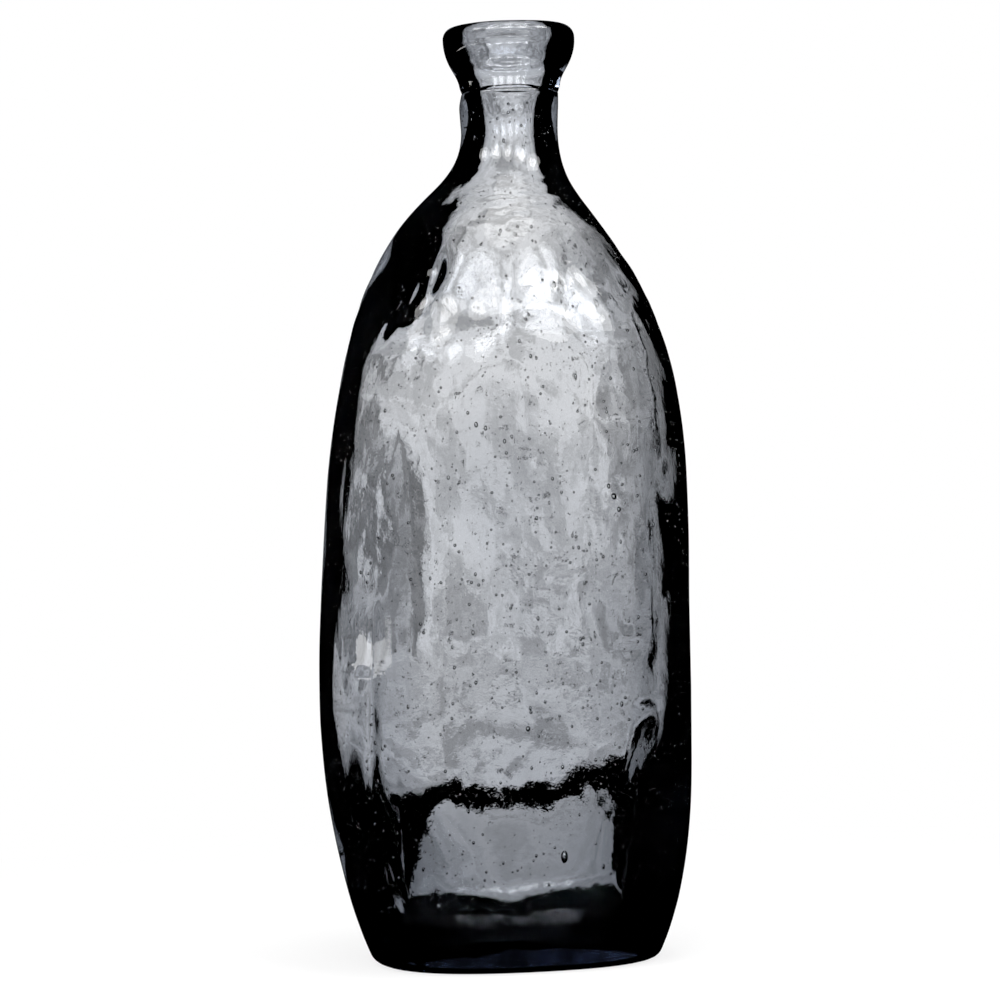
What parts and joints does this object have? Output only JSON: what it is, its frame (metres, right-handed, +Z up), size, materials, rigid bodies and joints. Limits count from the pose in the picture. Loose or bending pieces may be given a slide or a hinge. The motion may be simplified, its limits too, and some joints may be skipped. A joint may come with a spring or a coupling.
{
  "type": "bottle vase",
  "caption": "Tall hand-blown bottle vase of thick smoke-grey seeded glass, with a turned rounded-square body, a leaning neck and a flared collar, for cut stems.",
  "frame": {"origin": "on the table, under the middle of the vase", "axes": "+Z up through the mouth, -Y towards the front panel, +X to the side that the neck leans to"},
  "size_m": [0.1449, 0.1438, 0.36],
  "materials": {
    "smoke_glass": "clear smoke-grey glass, polished by fire, uneven and full of small bubbles"
  },
  "bodies": {
    "root": {"blown_body": "smoke_glass", "lip_collar": "smoke_glass"}
  },
  "joints": []
}
